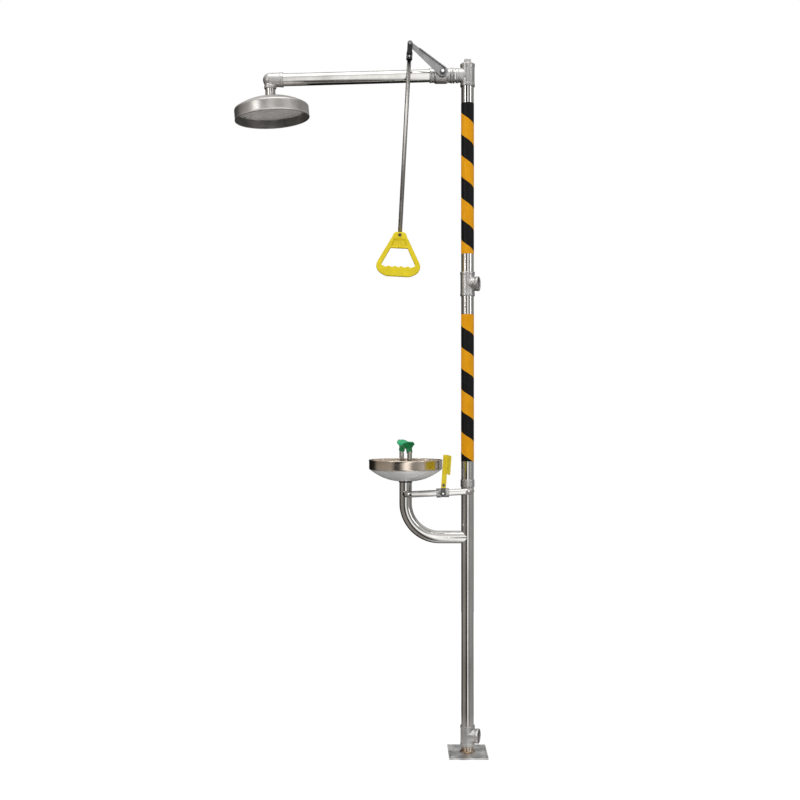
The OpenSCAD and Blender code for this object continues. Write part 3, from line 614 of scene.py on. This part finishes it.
def pickle_below(finish, skirt_low):
    """Turns a finish pale and less metallic below the skirt: painted reflection of the bright floor on the
    pan's underside.
    """
    nodes, links = finish.node_tree.nodes, finish.node_tree.links
    surface = nodes["Principled BSDF"]
    pickled = spread(nodes, links, object_xyz(nodes, links)["Z"], 0, 1, skirt_low + 0.001, skirt_low - 0.004)
    links.new(spread(nodes, links, pickled, 1, 0.35, 0, 1), surface.inputs["Metallic"])
    buffed = surface.inputs["Base Color"].links[0].from_socket
    links.new(blend_colours(nodes, links, pickled, buffed, (0.92, 0.91, 0.90)), surface.inputs["Base Color"])


# The bowl's underside is painted pale and half matt: painted reflection of the bright floor.
pickle_below(bowl_steel, 0.955)
bowl_place = Matrix.Translation((-0.208, 0, 0.914)) @ Matrix.Rotation(pi, 4, 'X')
new_piece("spun_bowl", turned(dished(0.123, 0.041, 0.031, 0.0153, 0.006), 144, bowl_place), bowl_steel,
          "station", "polished_steel", "eyewash_bowl")
throat = [(0.0153, -0.0005), (0.0168, -0.0005), (0.0168, 0.016), (0.0153, 0.016)]
new_piece("bowl_throat", turned(throat, 72, bowl_place), bowl_steel, "station", "polished_steel")
dress(bowl_steel, "bowl_strainer")

# ---------------------------------------------------------------- shower valve
# Two-piece ball valve, its lever and the rod that pulls it: bright stainless
# turnings, a duller pressed lever and dark plated nuts.
FINE = (300, 300, 300)
bright_steel = steel_finish("bright_steel", (0.48, 0.47, 0.46), (0.66, 0.65, 0.64), 0.10, 0.20, FINE, 0.0001)
rod_steel = steel_finish("rod_steel", (0.20, 0.19, 0.18), (0.34, 0.33, 0.315), 0.12, 0.20, (60, 60, 900),
                         0.00003)
nut_steel = steel_finish("nut_steel", (0.05, 0.05, 0.05), (0.13, 0.13, 0.128), 0.25, 0.42, FINE, 0.0002)
lever_steel = steel_finish("lever_steel", (0.16, 0.16, 0.162), (0.30, 0.30, 0.305), 0.34, 0.48, (60, 700, 60),
                           0.0003)
dress(rod_steel, "pull_rod")
dress(nut_steel, "push_plate_rivet", "push_bracket", "shower_lever_nut")
dress(lever_steel, "shower_lever", "link_pin")
dress(bright_steel, "shower_valve_ball", "shower_valve_stem", "shower_valve_gland", "rod_nut",
      "eyewash_valve_ball", "eyewash_valve_stem", "eyewash_valve_gland", "cap_pin_near", "cap_pin_far")

# ---------------------------------------------------------------- plastic, paint and rubber
# White valve seats, green caps and nozzles (the far cap in a paler green), the
# yellow painted push plate, a dark grip screw and the drain's black gasket.


def moulded(name, dark, light, smooth, rough, depth):
    """Injection-moulded plastic or paint: even colour, faint mottling and orange peel."""
    made, nodes, links = node_material(name)
    surface = nodes["Principled BSDF"]
    links.new(clouded(nodes, links, (25, 25, 25), dark, light), surface.inputs["Base Color"])
    surface.inputs["Specular IOR Level"].default_value = 0.28
    peel = grain(nodes, links, (420, 420, 420))
    links.new(spread(nodes, links, peel, smooth, rough), surface.inputs["Roughness"])
    emboss(nodes, links, surface, peel, 0.2, depth)
    return made


for finish, dark, light, smooth, rough, depth, nodes in (
        ("seat_plastic", (0.80, 0.80, 0.78), (0.86, 0.86, 0.84), 0.35, 0.5, 0.0001,
         ("shower_valve_seats", "eyewash_valve_seats")),
        ("dark_screw", (0.02, 0.02, 0.02), (0.05, 0.05, 0.05), 0.3, 0.4, 0.0001, ("handle_screw",)),
        ("yellow_paint", (0.78, 0.62, 0.02), (0.88, 0.72, 0.04), 0.3, 0.5, 0.0002, ("push_plate",)),
        ("green_cap_dark", (0.001, 0.17, 0.045), (0.003, 0.25, 0.07), 0.3, 0.45, 0.0002,
         ("dust_cap_near", "nozzle_near", "nozzle_far")),
        ("green_cap_light", (0.006, 0.34, 0.12), (0.02, 0.46, 0.18), 0.3, 0.45, 0.0002, ("dust_cap_far",)),
        ("black_rubber", (0.008, 0.008, 0.008), (0.016, 0.016, 0.016), 0.5, 0.7, 0.0002, ("drain_gasket",))):
    dress(moulded(finish, dark, light, smooth, rough, depth), *nodes)

# ---------------------------------------------------------------- pull handle
# Yellow moulded grip, hollowed into a web under its cap, with finger
# scallops. It is pinned to the rod's end by one dark screw.
LEAN = radians(3.05)
ROD_DROP = 0.627
PIN_X, PIN_Y, PIN_Z = -0.193636, -0.047, 2.36904


def hollowing_block(face, head, turn):
    """A trapezoid block that cuts the hollow between the grip's arms from one face."""
    outline = [(-0.019, -0.024), (0.019, -0.024), (0.027, -0.049), (-0.027, -0.049)]
    block = bmesh.new()
    spots = [Vector((x, face * y, z)) for y in (0.0055, 0.016) for x, z in outline]
    ring = [block.verts.new(head + turn @ spot) for spot in spots]
    for a in range(4):
        b = (a + 1) % 4
        block.faces.new((ring[a], ring[b], ring[4 + b], ring[4 + a]))
    block.faces.new(ring[:4])
    block.faces.new(ring[4:])
    bmesh.ops.recalc_face_normals(block, faces=block.faces)
    return blank_of(mesh_of(block))


def hollowed_handle():
    head = Vector((PIN_X - ROD_DROP * sin(LEAN), PIN_Y, PIN_Z - ROD_DROP * cos(LEAN)))
    turn = Matrix.Rotation(LEAN, 3, 'Y')
    blank = blank_of(mesh_of(merged_copy("pull_handle")))
    blocks = [hollowing_block(face, head, turn) for face in (-1, 1)]
    for block in blocks:
        boolean = blank.modifiers.new("hollow", 'BOOLEAN')
        boolean.operation = 'DIFFERENCE'
        boolean.object = block
        boolean.solver = 'EXACT'
    mesh = softened(blank, 0.0011, 9)
    for block in blocks:
        bpy.data.objects.remove(block)
    return mesh


yellow_handle = moulded("yellow_handle", (0.78, 0.60, 0.004), (0.92, 0.74, 0.012), 0.14, 0.26, 0.0001)
new_piece("moulded_pull_handle", hollowed_handle(), yellow_handle, "pull_rod", "yellow_plastic",
          "pull_handle")
new_piece("moulded_pull_link", rounded_by_wax("pull_link", 0.0006, 5),
          moulded("black_nylon", (0.010, 0.010, 0.011), (0.022, 0.022, 0.024), 0.32, 0.48, 0.0002),
          "pull_link", "black_nylon", "pull_link")

# ---------------------------------------------------------------- softened edges
# Machined, sawn and folded steel pieces keep their drawn shape; a file has
# just broken their edges by about half a millimetre.
def break_edges(width, *names):
    for name in names:
        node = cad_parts[name]
        weld = node.modifiers.new("weld", 'WELD')
        weld.merge_threshold = 1e-6
        bevel = node.modifiers.new("broken_edge", 'BEVEL')
        bevel.limit_method = 'ANGLE'
        bevel.angle_limit = radians(40)
        bevel.width = width
        bevel.segments = 2
        bevel.harden_normals = True


break_edges(0.0006, "base_plate", "shower_lever", "shower_lever_nut", "shower_valve_gland",
            "eyewash_valve_gland", "push_bracket", "push_plate", "top_plug", "head_locknut", "rod_nut")

# ---------------------------------------------------------------- round pieces
# Drawn tubes and bends, the films on them, the rod and the green mouldings are
# truly round, so copies of the drawn shapes are shaded as smooth surfaces.
def round_shaded(node):
    mesh = mesh_of(merged_copy(node))
    mesh.shade_smooth()
    mesh.set_sharp_from_angle(angle=radians(32))
    return mesh


for body, slot, names in (
        ("station", "pipe_steel", ("lower_column", "middle_column", "upper_column", "head_nipple",
                                   "eyewash_riser", "nozzle_stems", "shower_arm", "valve_nipple",
                                   "bar_bowl_side", "bar_column_side", "drain_bend")),
        ("station", "hazard_film", ("upper_hazard_sleeve", "lower_hazard_sleeve")),
        ("station", "pipe_steel", ("base_nipple",)),
        ("pull_rod", "pipe_steel", ("pull_rod",)),
        ("dust_cap_near", "green_plastic", ("dust_cap_near",)),
        ("dust_cap_far", "green_plastic", ("dust_cap_far",)),
        ("station", "green_plastic", ("nozzle_near", "nozzle_far"))):
    for name in names:
        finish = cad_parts[name].data.materials[0]
        new_piece("round_" + name, round_shaded(name), finish, body, slot, name)

# ---------------------------------------------------------------- foot weld
# Laid by hand with a filler rod: a bead of overlapping scales round the stub
# where it stands on the base plate.
def weld_tree():
    tree, given, made, keys = tree_with("weld_bead", ("Scales", 40), ("Ring radius", 0.02), ("Bead", 0.002))
    nodes, links = tree.nodes, tree.links
    index = nodes.new("GeometryNodeInputIndex").outputs[0]
    count = given.outputs["Scales"]
    angle = calc(nodes, links, 'DIVIDE', calc(nodes, links, 'MULTIPLY', index, 2 * pi), count)
    scale = nodes.new("GeometryNodeMeshIcoSphere")
    scale.inputs["Subdivisions"].default_value = 2
    links.new(given.outputs["Bead"], scale.inputs["Radius"])
    copies = copies_round(tree, count, given.outputs["Ring radius"], angle, scale.outputs[0])
    turn = nodes.new("ShaderNodeCombineXYZ")
    links.new(angle, turn.inputs["Z"])
    links.new(turn.outputs[0], copies.inputs["Rotation"])
    uneven = nodes.new("FunctionNodeRandomValue")
    uneven.data_type = 'FLOAT'
    uneven.inputs["Seed"].default_value = 7
    uneven.inputs[2].default_value = 0.82
    uneven.inputs[3].default_value = 1.18
    links.new(uneven.outputs[1], copies.inputs["Scale"])
    finish_tree(tree, given, made, copies.outputs[0])
    return tree, keys


weld, weld_keys = weld_tree()
weld_steel = steel_finish("weld_steel", (0.20, 0.16, 0.12), (0.50, 0.46, 0.41), 0.22, 0.40, FINE, 0.0004)
foot_weld = grown(weld, weld_keys, {"Scales": 52.0, "Ring radius": 0.0214, "Bead": 0.0026}, weld_steel,
                  Matrix.Translation((0, 0, 0.0066)))
new_piece("foot_weld", foot_weld, weld_steel, "station", "pipe_steel")

# ---------------------------------------------------------------- pipe threads
# Pipe threads of about 2.3 mm pitch: a few turns in sight on the head nipple,
# and the full length inside the two open ports.
def thread_tree():
    tree, given, made, keys = tree_with("pipe_thread", ("Turns", 4), ("Thread radius", 0.0168),
                                        ("Run", 0.009), ("Ridge", 0.0007))
    helix = tree.nodes.new("GeometryNodeCurveSpiral")
    helix.inputs["Resolution"].default_value = 40
    for label, socket in (("Turns", "Rotations"), ("Thread radius", "Start Radius"),
                          ("Thread radius", "End Radius"), ("Run", "Height")):
        tree.links.new(given.outputs[label], helix.inputs[socket])
    finish_tree(tree, given, made, swept(tree, helix.outputs[0], 4, given.outputs["Ridge"], True))
    return tree, keys


thread, thread_keys = thread_tree()
neck_thread = grown(thread, thread_keys, {"Turns": 5.0, "Thread radius": 0.01665, "Run": 0.0115,
                                          "Ridge": 0.0007},
                    bright_steel, elbow_place @ Matrix.Translation((0, 0, -0.0535)))
new_piece("head_nipple_thread", neck_thread, bright_steel, "station", "pipe_steel")
PORT_TURN = radians(-18)
for port, height in (("supply", 1.576), ("waste", 0.060)):
    mouth = (Matrix.Translation((0, 0, height)) @ Matrix.Rotation(PORT_TURN, 4, 'Z')
             @ Matrix.Translation((0.0235, 0, 0)) @ Matrix.Rotation(pi / 2, 4, 'Y'))
    cut = grown(thread, thread_keys, {"Turns": 7.0, "Thread radius": 0.0212, "Run": 0.0155, "Ridge": 0.0008},
                cast_skin, mouth)
    new_piece(port + "_port_thread", cut, cast_skin, "station", "cast_steel")
